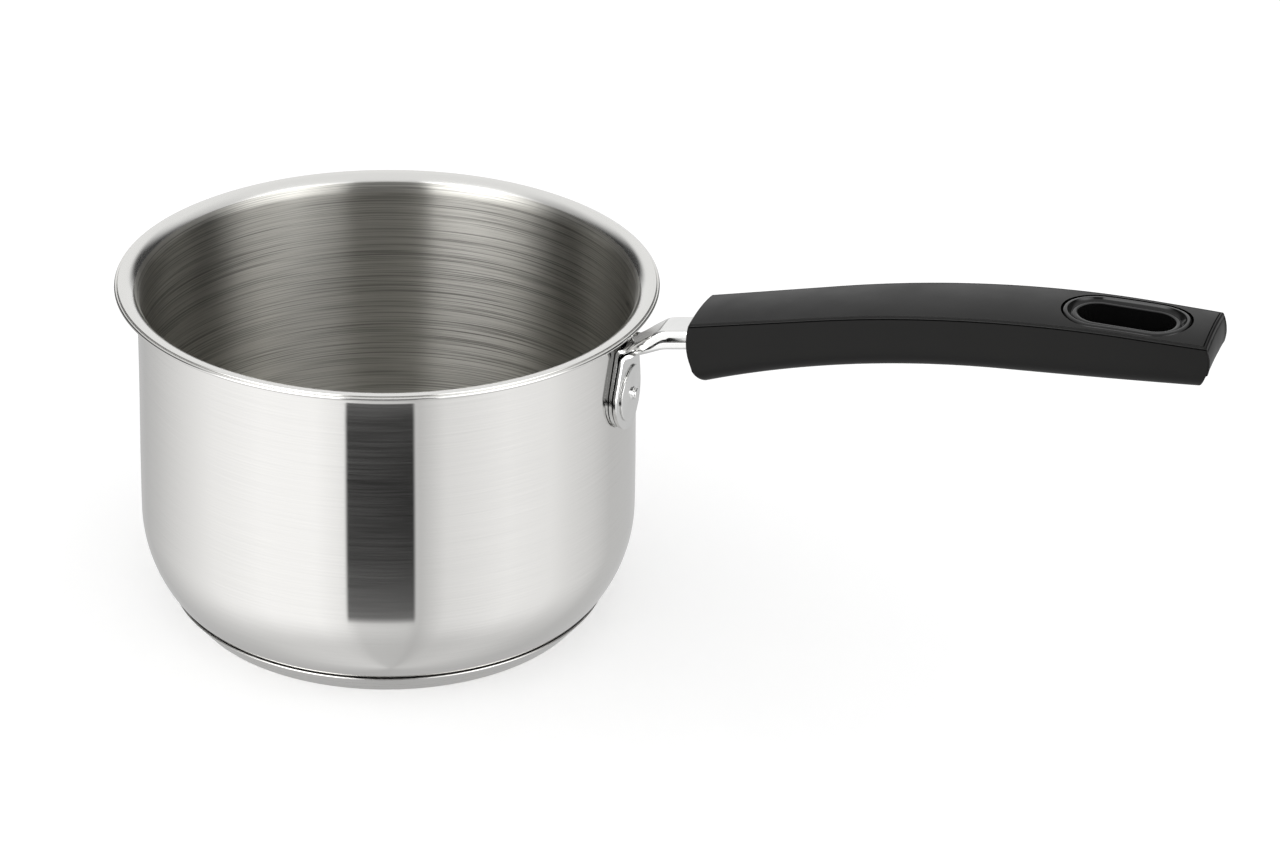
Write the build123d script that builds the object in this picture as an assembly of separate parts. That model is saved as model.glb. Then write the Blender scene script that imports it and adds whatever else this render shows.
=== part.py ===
from build123d import *
import os
from math import acos, asin, atan2, cos, degrees, radians, sin, sqrt, tan

# A saucepan of stainless steel with a rounded pouring rim, a capsule base and one long black handle.
# The origin is the centre of the base's underside, +Z is up and the handle leaves along +X.
# All lengths are in millimetres and all angles in degrees.

# Pan body: one deep-drawn sheet
pan_sheet = 0.8
mouth_radius = 80.1
pan_height = 115.6
flare_radius = 5.2
lip_width = 1.5
neck_length = 10.9
belly_swell = 0.75
belly_height = 35.0
side_radius = 44.0
heel_radius = 7.0

# Capsule base: an aluminium core pressed between the body and a stainless cap
cap_sheet = 0.6
core_thickness = 5.0
cap_reach = 5.3
cap_lean = 5.6
cap_edge_radius = 0.8
core_side_gap = 0.2
seam_gap = 0.3

# Bracket: two stamped straps, stacked on the wall and joined into a hollow arm
strap_sheet = 1.2
wall_gap = 0.25
leaf_gap = 0.1
foot_radius = 12.0
foot_drop = 26.9
neck_half_width = 8.5
upper_bend_drop = 10.4
lower_bend_drop = 12.2
arm_reach = 13.6
arm_drop = 0.5
arm_tilt = 10.0
arm_width = 12.5
arm_depth = 6.6
upper_flange_depth = 2.6
lower_flange_depth = 3.1
tang_length = 40.0

# Rivet that clamps both straps to the wall
rivet_radius = 3.0
rivet_hole_gap = 0.1
rivet_seat_gap = 0.05
rivet_head_radius = 9.4
rivet_head_height = 0.7
rivet_crown = 0.4
nipple_radius = 1.9
nipple_height = 1.5
inner_head_radius = 5.5
inner_head_height = 1.2

# Grip: one phenolic moulding, straight at first and then gently arched
grip_standoff = 10.7
grip_length = 165.0
grip_lift = 6.5
grip_top_rise = 13.37
grip_top_arc_radius = 427.5
grip_top_level_length = 23.8
grip_depth = 19.65
grip_under_straight = 63.5
grip_under_rise = 4.61
grip_under_arc_radius = 336.8
grip_width = 28.9
grip_crown = 1.2
grip_draft = 0.6
grip_top_edge_radius = 1.2
grip_lower_edge_radius = 5.5
pan_end_bulge = 6.0
pan_end_foot_setback = 6.2
pan_end_top_setback = 1.0
far_end_top_setback = 1.6
far_end_foot_setback = 2.9
pocket_gap = 0.2
station_shares = (0.0, 0.16, 0.34, 0.52, 0.70, 0.86, 1.0)
width_shares = (0.866, 0.903, 0.948, 0.985, 1.0, 0.989, 0.945)
end_bulge_share = 0.45

# Hanging hole: an oval insert that lines the hole and hides the screw head
hole_setback = 28.7
hole_length = 30.5
hole_width = 13.9
insert_wall = 1.6
flange_reach = 4.6
flange_thickness = 2.8
dish_margin = 1.0
dish_depth = 1.9
insert_gap = 0.15

# Long screw that draws the grip onto the tang
screw_radius = 2.0
screw_head_radius = 3.8
screw_head_height = 2.6
screw_bore_gap = 0.4
screw_setback = 11.4
screw_recess_width = 0.9
screw_recess_length = 4.4
screw_recess_depth = 1.3
washer_radius = 4.4
washer_thickness = 0.8
washer_hole_gap = 0.2
counterbore_gap = 0.4
end_block_length = 7.0
thread_gap = 0.05

# One generous length that every cut and trim runs past the solid it works on
overrun = 20.0
quarter_turn = 90.0
half_turn = 180.0

# Values that several pieces share
floor_height = cap_sheet + core_thickness
neck_radius = mouth_radius + pan_sheet
belly_radius = neck_radius + belly_swell
flare_height = pan_height - pan_sheet - flare_radius
flare_centre = neck_radius + flare_radius
heel_turn = degrees(asin((belly_height - heel_radius - floor_height) / (side_radius - heel_radius)))
heel_centre = Vector(belly_radius - side_radius, belly_height) + Vector(
    (side_radius - heel_radius) * cos(radians(heel_turn)),
    -(side_radius - heel_radius) * sin(radians(heel_turn)),
)
cap_radius = heel_centre.X + cap_reach
cap_height = heel_centre.Y - sqrt(heel_radius**2 - (cap_reach - cap_sheet) ** 2) - seam_gap
upper_seat = neck_radius + wall_gap
lower_seat = upper_seat + strap_sheet + leaf_gap
foot_face = lower_seat + strap_sheet
foot_height = pan_height - foot_drop
upper_bend_height = pan_height - upper_bend_drop
lower_bend_height = pan_height - lower_bend_drop
arm_direction = Vector(cos(radians(arm_tilt)), sin(radians(arm_tilt)))
arm_down = Vector(sin(radians(arm_tilt)), -cos(radians(arm_tilt)))
arm_top = Vector(neck_radius + arm_reach, pan_height - arm_drop)
arm_middle = arm_top + arm_down * (arm_depth / 2)
arm_plane = Plane(
    origin=(arm_middle.X, 0, arm_middle.Y),
    x_dir=(arm_direction.X, 0, arm_direction.Y),
    z_dir=(-arm_direction.Y, 0, arm_direction.X),
)
block_end = tang_length + end_block_length
grip_start = arm_top.X + grip_standoff
grip_end = grip_start + grip_length
grip_start_height = arm_top.Y + grip_lift
hole_station = grip_end - hole_setback
hole_pan_side = hole_station - hole_length / 2 - insert_wall - insert_gap
screw_seat = (hole_pan_side - arm_middle.X) / arm_direction.X - screw_setback
outward = (1, 0, 0)
upward = (0, 0, 1)
from_base = (Align.CENTER, Align.CENTER, Align.MIN)
from_front = (Align.MIN, Align.CENTER, Align.CENTER)


def along_arm(start, radius, length):
    """A round bar on the arm's middle line, from a distance along the arm."""
    bar = Cylinder(radius, length, align=from_base)
    return arm_plane * Pos(start, 0, 0) * Rot(0, quarter_turn, 0) * bar


def arm_block(start, length, width, depth):
    """A square bar on the arm's middle line, from a distance along the arm."""
    return arm_plane * Pos(start, 0, 0) * Box(length, width, depth, align=from_front)


def along_x(start, radius, length):
    """A round bar through the rivet's centre, square to the wall."""
    bar = Cylinder(radius, length, align=from_base)
    return Pos(start, 0, foot_height) * Rot(0, quarter_turn, 0) * bar


def turned(outline):
    """A closed outline in the X-Z plane, turned once round the pan's axis."""
    return revolve(make_face(Plane.XZ * outline), Axis.Z)


def side_slab(points, width):
    """A closed polygon in the X-Z plane, made as wide as asked about the middle plane."""
    return extrude(make_face(Plane.XZ * Polyline(*points, close=True)), width / 2, both=True)


def wall_line(inset):
    """The body's section from the middle of its floor to its lip, some way inside the outer surface."""
    heel = heel_radius - inset
    side = side_radius - inset
    flare = flare_radius + inset
    wall = neck_radius - inset
    neck_foot = flare_height - neck_length
    ease = (neck_foot - belly_height) / 3
    belly = Vector(belly_radius - inset, belly_height)
    neck = Vector(wall, neck_foot)
    lip = Vector(flare_centre, flare_height + flare)
    return [
        Line((0, floor_height + inset), (heel_centre.X, floor_height + inset)),
        CenterArc(heel_centre, heel, -quarter_turn, quarter_turn - heel_turn),
        CenterArc((belly_radius - side_radius, belly_height), side, -heel_turn, heel_turn),
        Bezier(belly, belly + Vector(0, ease), neck - Vector(0, ease), neck),
        Line(neck, (wall, flare_height)),
        CenterArc((flare_centre, flare_height), flare, half_turn, -quarter_turn),
        Line(lip, lip + Vector(lip_width, 0)),
    ]


def pan_shell():
    outside = wall_line(0)
    inside = wall_line(pan_sheet)
    lip_out = outside[-1] @ 1
    lip_in = inside[-1] @ 1
    lip_tip = (lip_out + lip_in) / 2 + (outside[-1] % 1) * (pan_sheet / 2)
    lip = ThreePointArc(lip_out, lip_tip, lip_in)
    axis = Line(outside[0] @ 0, inside[0] @ 0)
    body = turned(Curve() + outside + inside + [lip, axis])
    return body - along_x(mouth_radius - overrun, rivet_radius + rivet_hole_gap, overrun * 2)


def cap_side(height, inset):
    """How far the cap's leaning side is from the axis at a height, some way inside its outer face."""
    return cap_radius - cap_lean * (1 - height / cap_height) - inset


def base_core():
    side = cap_radius - cap_sheet - core_side_gap
    foot = cap_side(cap_sheet, cap_sheet + core_side_gap)
    cover = heel_radius + core_side_gap
    rise = sqrt(cover**2 - (side - heel_centre.X) ** 2)
    step = Vector(heel_centre.X, heel_centre.Y - cover)
    shoulder = Vector(side, heel_centre.Y - rise)
    middle_turn = radians(quarter_turn) - asin((side - heel_centre.X) / cover) / 2
    middle = heel_centre + Vector(cos(middle_turn), -sin(middle_turn)) * cover
    outline = Curve() + [
        Line((0, cap_sheet), (foot, cap_sheet)),
        Line((foot, cap_sheet), shoulder),
        ThreePointArc(shoulder, middle, step),
        Line(step, (heel_centre.X, floor_height)),
        Line((heel_centre.X, floor_height), (0, floor_height)),
        Line((0, floor_height), (0, cap_sheet)),
    ]
    return turned(outline)


def base_cap():
    outer = [(cap_side(0, 0), 0), (cap_radius, cap_height)]
    inner = [(cap_radius - cap_sheet, cap_height), (cap_side(cap_sheet, cap_sheet), cap_sheet)]
    cap = turned(Polyline((0, 0), *outer, *inner, (0, cap_sheet), close=True))
    lowest_edge = cap.edges().filter_by(GeomType.CIRCLE).group_by(Axis.Z)[0]
    return fillet(lowest_edge, cap_edge_radius)


def strap_prism(bend, start, inset):
    """The strap's outline as seen along the handle: a neck that narrows from the foot to the arm."""
    neck = neck_half_width - inset
    arm = arm_width / 2 - inset
    top = start + tang_length
    side = [(neck, bend), (arm, start), (arm, top)]
    outline = Polyline(*side, (-arm, top), (-arm, start), (-neck, bend), close=True)
    return extrude(make_face(Plane.YZ * outline), grip_end, dir=outward)


def foot_plate(seat, bend):
    """The round foot of a strap, curved to the wall, with a neck whose sides leave it at a tangent."""
    corner = Vector(neck_half_width, bend - foot_height)
    touch = atan2(corner.Y, corner.X) - acos(foot_radius / corner.length)
    side = Vector(cos(touch), sin(touch)) * foot_radius
    neck = Polyline(corner, side, (-side.X, side.Y), (-corner.X, corner.Y), close=True)
    outline = Circle(foot_radius) + make_face(neck)
    prism = extrude(Plane.YZ * Pos(0, foot_height) * outline, grip_end)
    low = foot_height - foot_radius * 2
    cover = Pos(0, 0, low) * Cylinder(seat + strap_sheet, bend - low, align=from_base)
    return (prism & cover) - Pos(0, 0, low) * Cylinder(seat, bend - low, align=from_base)


def mitre(corner, first, second, offset):
    """Where a bent line's corner comes to when the line moves sideways by an offset."""
    turn = radians(second - first) / 2
    normal = radians(first) + turn - radians(quarter_turn)
    return corner + Vector(cos(normal), sin(normal)) * (offset / cos(turn))


def upper_strap():
    start = Vector(upper_seat, upper_bend_height)
    slope = (arm_top - start).get_angle(Vector(1, 0))
    end = arm_top + arm_direction * tang_length
    under_start = mitre(start, quarter_turn, slope, strap_sheet)
    under_bend = mitre(arm_top, slope, arm_tilt, strap_sheet)
    under_end = end + arm_down * strap_sheet
    flange_bend = mitre(arm_top, slope, arm_tilt, upper_flange_depth)
    flange_end = end + arm_down * upper_flange_depth
    body = side_slab([start, arm_top, end, flange_end, flange_bend, under_start], foot_radius * 2)
    past = under_end + arm_direction * overrun
    hollow = side_slab(
        [under_start, under_bend, under_end, past, past + arm_down * overrun, (under_start.X, 0)],
        foot_radius * 2,
    )
    arm = body & strap_prism(under_start.Y, flange_bend.Y, 0)
    inside = strap_prism(under_start.Y, flange_bend.Y, strap_sheet)
    strap = arm - (hollow & inside) + foot_plate(upper_seat, upper_bend_height)
    return strap - along_x(upper_seat - overrun, rivet_radius + rivet_hole_gap, overrun * 2)


def lower_strap():
    start = Vector(foot_face, lower_bend_height)
    bend = arm_top + arm_down * arm_depth
    slope = (bend - start).get_angle(Vector(1, 0))
    end = bend + arm_direction * tang_length
    web_start = mitre(start, quarter_turn, slope, -strap_sheet)
    web_bend = mitre(bend, slope, arm_tilt, -strap_sheet)
    web_end = end - arm_down * strap_sheet
    flange_bend = mitre(bend, slope, arm_tilt, -lower_flange_depth)
    flange_end = end - arm_down * lower_flange_depth
    body = side_slab([start, bend, end, flange_end, flange_bend, web_start], foot_radius * 2)
    past = web_end + arm_direction * overrun
    hollow = side_slab(
        [web_start, web_bend, web_end, past, past - arm_down * overrun, web_start + Vector(0, overrun)],
        foot_radius * 2,
    )
    arm = body & strap_prism(start.Y, bend.Y, 0)
    inside = strap_prism(start.Y, bend.Y, strap_sheet)
    strap = arm - (hollow & inside) + foot_plate(lower_seat, web_start.Y)
    return strap - along_x(upper_seat - overrun, rivet_radius + rivet_hole_gap, overrun * 2)


def bracket_rivet():
    seat = foot_face + rivet_seat_gap
    face = seat + rivet_head_height - rivet_crown
    crown = face + rivet_crown
    tip = crown + nipple_height
    inner = mouth_radius - rivet_seat_gap
    outline = Curve() + [
        Line((seat - overrun, 0), (seat - overrun, rivet_head_radius)),
        Line((seat - overrun, rivet_head_radius), (face, rivet_head_radius)),
        Line((face, rivet_head_radius), (crown, rivet_head_radius - rivet_crown)),
        Line((crown, rivet_head_radius - rivet_crown), (crown, nipple_radius)),
        Line((crown, nipple_radius), (tip - nipple_height / 2, nipple_radius)),
        Line((tip - nipple_height / 2, nipple_radius), (tip, nipple_radius / 2)),
        Line((tip, nipple_radius / 2), (tip, 0)),
        Line((tip, 0), (seat - overrun, 0)),
    ]
    head = revolve(make_face(Plane.XZ * outline), Axis.X)
    tall = rivet_head_radius * 4
    head -= Pos(0, 0, -tall / 2) * Cylinder(seat, tall, align=from_base)
    head = Pos(0, 0, foot_height) * head
    inner_start = inner - inner_head_height
    inner_bar = along_x(inner_start, inner_head_radius, inner_head_height)
    inner_head = inner_bar & (Pos(0, 0, foot_height - tall / 2) * Cylinder(inner, tall, align=from_base))
    shank = along_x(inner_start, rivet_radius, face - inner_start)
    return shank + head + inner_head


def grip_top(station):
    """Height of the grip's upper edge: a straight rise, then an arc that ends level."""
    rise = radians(grip_top_rise)
    arc_end = grip_end - grip_top_level_length
    arc_start = arc_end - grip_top_arc_radius * sin(rise)
    arc_start_height = grip_start_height + (arc_start - grip_start) * tan(rise)
    peak = arc_start_height + grip_top_arc_radius * (1 - cos(rise))
    if station < arc_start:
        return grip_start_height + (station - grip_start) * tan(rise)
    if station > arc_end:
        return peak
    return peak - grip_top_arc_radius + sqrt(grip_top_arc_radius**2 - (arc_end - station) ** 2)


def grip_under(station):
    """Height of the grip's underside: an arc that runs out into a straight, slight rise."""
    rise = radians(grip_under_rise)
    arc_end = grip_end - grip_under_straight
    arc_end_height = grip_top(grip_end) - grip_depth
    if station > arc_end:
        return arc_end_height + (station - arc_end) * tan(rise)
    centre = arc_end + grip_under_arc_radius * sin(rise)
    centre_height = arc_end_height - grip_under_arc_radius * cos(rise)
    return centre_height + sqrt(grip_under_arc_radius**2 - (station - centre) ** 2)


def grip_section(share, width_share):
    """One cross-section of the grip: crowned top, slightly drafted sides and large lower corners."""
    station = grip_start + share * (grip_end - grip_start)
    top = grip_top(station)
    under = grip_under(station)
    half = grip_width * width_share / 2
    foot = half - grip_draft
    outline = Curve() + [
        ThreePointArc((half, top), (0, top + grip_crown), (-half, top)),
        Line((-half, top), (-foot, under)),
        Line((-foot, under), (foot, under)),
        Line((foot, under), (half, top)),
    ]
    face = make_face(outline)
    corners = face.vertices().sort_by(Axis.Y)
    face = fillet(corners[:2], grip_lower_edge_radius)
    corners = face.vertices().sort_by(Axis.Y)
    face = fillet(corners[-2:], grip_top_edge_radius)
    return Plane((station, 0, 0), x_dir=(0, 1, 0), z_dir=(1, 0, 0)) * face


def grip_form():
    """The grip's outer form: lofted along its length, with both ends rounded as seen from the side."""
    sections = [grip_section(share, width) for share, width in zip(station_shares, width_shares)]
    form = loft(sections)
    pan_top = Vector(grip_start + pan_end_top_setback, grip_top(grip_start) + grip_crown)
    pan_foot = Vector(grip_start + pan_end_foot_setback, grip_under(grip_start + pan_end_foot_setback))
    pan_middle = Vector(grip_start, pan_top.Y - pan_end_bulge)
    far_top = Vector(grip_end - far_end_top_setback, grip_top(grip_end) + grip_crown)
    far_foot = Vector(grip_end - far_end_foot_setback, grip_under(grip_end))
    far_middle = Vector(grip_end, far_foot.Y + (far_top.Y - far_foot.Y) * end_bulge_share)
    trim = Curve() + [
        ThreePointArc(pan_top, pan_middle, pan_foot),
        Polyline(pan_foot, pan_foot - Vector(0, overrun), far_foot - Vector(0, overrun * 2), far_foot),
        ThreePointArc(far_foot, far_middle, far_top),
        Polyline(far_top, far_top + Vector(0, overrun), pan_top + Vector(0, overrun * 2), pan_top),
    ]
    return form & extrude(make_face(Plane.XZ * trim), grip_width, both=True)


def oval(growth):
    """The hanging hole's oval, grown on all sides."""
    return Pos(hole_station, 0) * SlotOverall(hole_length + growth * 2, hole_width + growth * 2)


def oval_prism(growth, low):
    """The grown oval, standing up from a height to well above the grip."""
    return extrude(Pos(0, 0, low) * oval(growth), pan_height + overrun * 2, dir=upward)


def handle_grip(form):
    pocket_width = arm_width + pocket_gap * 2
    pocket_depth = arm_depth + pocket_gap * 2
    bore = screw_radius + screw_bore_gap
    grip = form - arm_block(0, block_end + pocket_gap, pocket_width, pocket_depth)
    grip -= along_arm(block_end, bore, screw_seat - block_end)
    grip -= along_arm(screw_seat, washer_radius + counterbore_gap, screw_setback + hole_length / 2)
    grip -= oval_prism(insert_wall + insert_gap, 0)
    return grip - oval_prism(flange_reach + insert_gap, flange_ledge)


def hanging_hole_insert(form):
    barrel = form & oval_prism(insert_wall, 0)
    flange = form & oval_prism(flange_reach, flange_ledge)
    dish_reach = flange_reach - dish_margin
    dish_taper = degrees(atan2(dish_reach, dish_depth))
    dish = extrude(Pos(0, 0, flange_top) * oval(dish_reach), -dish_depth, taper=dish_taper)
    return barrel + flange - oval_prism(0, 0) - dish


def handle_screw():
    washer_face = screw_seat + washer_thickness
    shank = along_arm(tang_length, screw_radius, washer_face - tang_length)
    head = along_arm(washer_face, screw_head_radius, screw_head_height)
    recess_start = washer_face + screw_head_height - screw_recess_depth
    for width, depth in (
        (screw_recess_length, screw_recess_width),
        (screw_recess_width, screw_recess_length),
    ):
        head -= arm_block(recess_start, overrun, width, depth)
    return shank + head


def screw_washer():
    ring = along_arm(screw_seat, washer_radius, washer_thickness)
    return ring - along_arm(screw_seat, screw_radius + washer_hole_gap, washer_thickness)


def tang_end_block():
    block = arm_block(tang_length, end_block_length, arm_width, arm_depth)
    return block - along_arm(tang_length, screw_radius + thread_gap, end_block_length)


flange_top = grip_top(hole_station) + grip_crown
flange_ledge = flange_top - flange_thickness
grip_outer = grip_form()
pieces = {
    "pan_shell": pan_shell(),
    "base_core": base_core(),
    "base_cap": base_cap(),
    "bracket_upper_strap": upper_strap(),
    "bracket_lower_strap": lower_strap(),
    "bracket_rivet": bracket_rivet(),
    "tang_end_block": tang_end_block(),
    "handle_grip": handle_grip(grip_outer),
    "hanging_hole_insert": hanging_hole_insert(grip_outer),
    "handle_screw": handle_screw(),
    "screw_washer": screw_washer(),
}

os.makedirs("parts", exist_ok=True)
for name, shape in pieces.items():
    export_step(shape, f"parts/{name}.step")
    print(name, len(shape.solids()), round(shape.volume, 1))
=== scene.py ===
import math

import bmesh
import bpy
import numpy as np
from mathutils import Matrix, Vector


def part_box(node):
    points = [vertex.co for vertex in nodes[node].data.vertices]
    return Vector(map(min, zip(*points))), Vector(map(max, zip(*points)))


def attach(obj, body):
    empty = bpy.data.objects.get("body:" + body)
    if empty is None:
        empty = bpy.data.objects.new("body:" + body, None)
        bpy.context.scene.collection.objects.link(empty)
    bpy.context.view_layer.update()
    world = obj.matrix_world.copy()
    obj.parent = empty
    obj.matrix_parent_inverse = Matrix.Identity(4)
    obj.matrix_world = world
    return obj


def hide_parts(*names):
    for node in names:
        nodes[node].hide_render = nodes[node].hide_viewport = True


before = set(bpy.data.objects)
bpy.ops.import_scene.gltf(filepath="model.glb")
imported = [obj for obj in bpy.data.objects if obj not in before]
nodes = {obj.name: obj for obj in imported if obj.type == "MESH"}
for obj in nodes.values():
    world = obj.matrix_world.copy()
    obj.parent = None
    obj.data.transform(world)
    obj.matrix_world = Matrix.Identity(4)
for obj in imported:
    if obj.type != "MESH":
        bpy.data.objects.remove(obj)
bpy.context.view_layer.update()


# The camera stands in front of the pan and above it, turned so that the handle leaves to the right.
# Its place and its three directions were worked out from the rim, the wall and the base.
view_place = Vector((0.44165, -1.0915, 0.6596))
view_right = Vector((0.94707, 0.32018, 0.02334))
view_up = Vector((-0.16471, 0.4222, 0.89141))
view_lens = 112.5
view_sensor = 36.0

camera_data = bpy.data.cameras.new("camera")
camera_data.lens = view_lens
camera_data.sensor_width = view_sensor
camera_data.sensor_fit = "HORIZONTAL"
camera = bpy.data.objects.new("camera", camera_data)
view_back = view_right.cross(view_up).normalized()
view_turn = Matrix((view_right, view_up, view_back)).transposed().to_4x4()
camera.matrix_world = Matrix.Translation(view_place) @ view_turn
bpy.context.scene.collection.objects.link(camera)
bpy.context.scene.camera = camera
bpy.context.scene.view_settings.view_transform = "Standard"


# A white floor and a white studio. Steel shows the studio's walls: bright panels beside the camera, greyer
# corners at the sides, and one tall dark card behind the camera, which is the dark stripe down the pan.
# The levels are (degrees from the camera's side, level), and the card's numbers are turns and rises.
studio_heading = math.radians(-68.0)
low_levels = (
    (-150, 0.56), (-134, 0.66), (-114, 0.84), (-88, 1.08), (-60, 1.21), (-34, 1.20),
    (-22, 1.06), (-15, 0.84), (8, 0.76), (14, 0.65), (26, 0.90), (56, 1.06),
    (80, 1.0), (92, 0.89), (108, 0.78), (124, 0.63), (150, 0.60),
)
high_levels = (
    (-150, 0.96), (-120, 0.56), (-92, 0.56), (-76, 1.3), (-58, 3.7), (-42, 4.8),
    (-26, 3.8), (-17, 1.8), (-14, 0.9), (14, 0.9), (28, 2.1), (46, 3.6),
    (62, 3.1), (76, 1.4), (90, 0.76), (120, 0.76), (150, 0.96),
)
side_levels = (
    (-162, 1.0), (-152, 0.06), (-88, 0.06), (-70, 1.0),
    (74, 1.0), (90, 0.06), (152, 0.06), (162, 1.0),
)
level_span = 5.0
top_level = 0.92
bottom_shares = (0.38, 0.33)
low_edges = (math.radians(-62.0), math.radians(-34.0))
side_edges = (math.radians(22.0), math.radians(44.0))
high_edges = (math.radians(-17.0), math.radians(4.0))
top_edges = (math.radians(44.0), math.radians(64.0))
card_levels = (0.020, 0.0)
card_glow = 0.30
card_lift = 0.28
card_spread = math.radians(8.0)
card_turns = (math.radians(-20.0), math.radians(-12.0))
card_clear = math.radians(-26.4)
card_middle = math.radians(-4.0)
card_half_width = math.radians(15.5)
card_side = math.radians(1.0)
card_foot = math.radians(-34.0)
card_top = math.radians(58.0)
card_end = math.radians(2.0)
floor_size = 6.0
floor_shade = 0.80
floor_lift = 0.29


def add_node(tree, kind, inputs=None, **settings):
    """A node with its settings, and with each named input linked to a socket or set to a value."""
    node = tree.nodes.new(kind)
    for name, value in settings.items():
        setattr(node, name, value)
    for name, value in (inputs or {}).items():
        if isinstance(value, bpy.types.NodeSocket):
            tree.links.new(value, node.inputs[name])
        else:
            node.inputs[name].default_value = value
    return node


def math_node(tree, operation, first, second=0.0, third=0.0):
    """One sum on sockets or numbers."""
    return add_node(tree, "ShaderNodeMath", {0: first, 1: second, 2: third}, operation=operation).outputs[0]


def ramp_node(tree, value, low, high, start=0.0, end=1.0, kind="SMOOTHSTEP"):
    """A value taken from one range to another, with soft ends."""
    numbers = {"Value": value, "From Min": low, "From Max": high, "To Min": start, "To Max": end}
    return add_node(tree, "ShaderNodeMapRange", numbers, interpolation_type=kind).outputs["Result"]


def level_ramp(tree, turn, stops):
    """A level that changes with heading, by (degrees, level) stops. A ramp holds levels up to 1."""
    share = math_node(tree, "MULTIPLY_ADD", turn, 1 / math.tau, 0.5)
    node = add_node(tree, "ShaderNodeValToRGB", {0: share})
    ramp = node.color_ramp
    for number, (degrees, level) in enumerate(stops):
        place = degrees / 360 + 0.5
        stop = ramp.elements[number] if number < 2 else ramp.elements.new(place)
        stop.position = place
        stop.color = (level / level_span, level / level_span, level / level_span, 1)
    return math_node(tree, "MULTIPLY", node.outputs["Color"], level_span)


def between(tree, value, first, second):
    """A plain mix of two numbers."""
    return add_node(tree, "ShaderNodeMix", {"Factor": value, "A": first, "B": second}).outputs[0]


def studio_world():
    """White where the camera looks and as light, and the walls, top and card where steel looks."""
    world = bpy.data.worlds.new("studio")
    world.use_nodes = True
    tree = world.node_tree
    tree.nodes.clear()
    direction = add_node(tree, "ShaderNodeTexCoord").outputs["Generated"]
    axes = add_node(tree, "ShaderNodeSeparateXYZ", {0: direction})
    heading = math_node(tree, "ARCTAN2", axes.outputs["Y"], axes.outputs["X"])
    heading = math_node(tree, "SUBTRACT", heading, studio_heading)
    turn = math_node(tree, "WRAP", heading, math.pi, -math.pi)
    rise = math_node(tree, "ARCSINE", axes.outputs["Z"])
    foot = level_ramp(tree, turn, low_levels)
    bottom = math_node(tree, "MULTIPLY_ADD", foot, *bottom_shares)
    low = between(tree, ramp_node(tree, rise, *low_edges), bottom, foot)
    sides = between(tree, ramp_node(tree, rise, *side_edges), level_ramp(tree, turn, side_levels), 1.0)
    panels = math_node(tree, "MULTIPLY", level_ramp(tree, turn, high_levels), sides)
    high = between(tree, ramp_node(tree, rise, *top_edges), panels, top_level)
    walls = between(tree, ramp_node(tree, rise, *high_edges), low, high)
    upper = ramp_node(tree, rise, *card_turns)
    spread = math_node(tree, "MULTIPLY", math_node(tree, "GREATER_THAN", turn, card_middle), card_spread)
    aside = math_node(tree, "ABSOLUTE", math_node(tree, "SUBTRACT", turn, card_middle))
    aside = math_node(tree, "SUBTRACT", aside, math_node(tree, "MULTIPLY", upper, spread))
    beside = ramp_node(tree, aside, card_half_width - card_side, card_half_width + card_side)
    below = ramp_node(tree, rise, card_foot - card_end, card_foot + card_end, 1.0, 0.0)
    above = ramp_node(tree, rise, card_top - card_end, card_top + card_end)
    clear = math_node(tree, "MAXIMUM", beside, math_node(tree, "MAXIMUM", below, above))
    card_span = (card_middle - card_half_width, card_middle + card_half_width)
    dark = ramp_node(tree, turn, *card_span, *card_levels, "LINEAR")
    glow = ramp_node(tree, rise, card_foot, card_clear, card_glow, 0.0, "LINEAR")
    lift = math_node(tree, "MULTIPLY_ADD", upper, card_lift, glow)
    carded = between(tree, clear, math_node(tree, "ADD", dark, lift), walls)
    rays = add_node(tree, "ShaderNodeLightPath")
    glossy = between(tree, rays.outputs["Is Glossy Ray"], 1.0, carded)
    seen = between(tree, rays.outputs["Is Camera Ray"], glossy, 1.0)
    light = add_node(tree, "ShaderNodeBackground", {"Color": (1, 1, 1, 1), "Strength": seen})
    add_node(tree, "ShaderNodeOutputWorld", {"Surface": light.outputs[0]})
    bpy.context.scene.world = world


def studio_floor():
    """A wide pale floor that looks white, keeps the pan's shadow and doesn't show in the steel."""
    half = floor_size / 2
    mesh = bpy.data.meshes.new("floor")
    corners = [(-half, -half, 0), (half, -half, 0), (half, half, 0), (-half, half, 0)]
    mesh.from_pydata(corners, [], [(0, 1, 2, 3)])
    material = bpy.data.materials.new("floor")
    material.use_nodes = True
    tree = material.node_tree
    tree.nodes.clear()
    paint = add_node(tree, "ShaderNodeBsdfDiffuse", {"Color": (floor_shade, floor_shade, floor_shade, 1)})
    rays = add_node(tree, "ShaderNodeLightPath")
    lift = math_node(tree, "MULTIPLY", rays.outputs["Is Camera Ray"], floor_lift)
    glow = add_node(tree, "ShaderNodeEmission", {"Strength": lift})
    both = add_node(tree, "ShaderNodeAddShader", {0: paint.outputs[0], 1: glow.outputs[0]})
    add_node(tree, "ShaderNodeOutputMaterial", {"Surface": both.outputs[0]})
    mesh.materials.append(material)
    floor = bpy.data.objects.new("floor", mesh)
    floor.visible_glossy = False
    bpy.context.scene.collection.objects.link(floor)


studio_world()
studio_floor()


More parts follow.
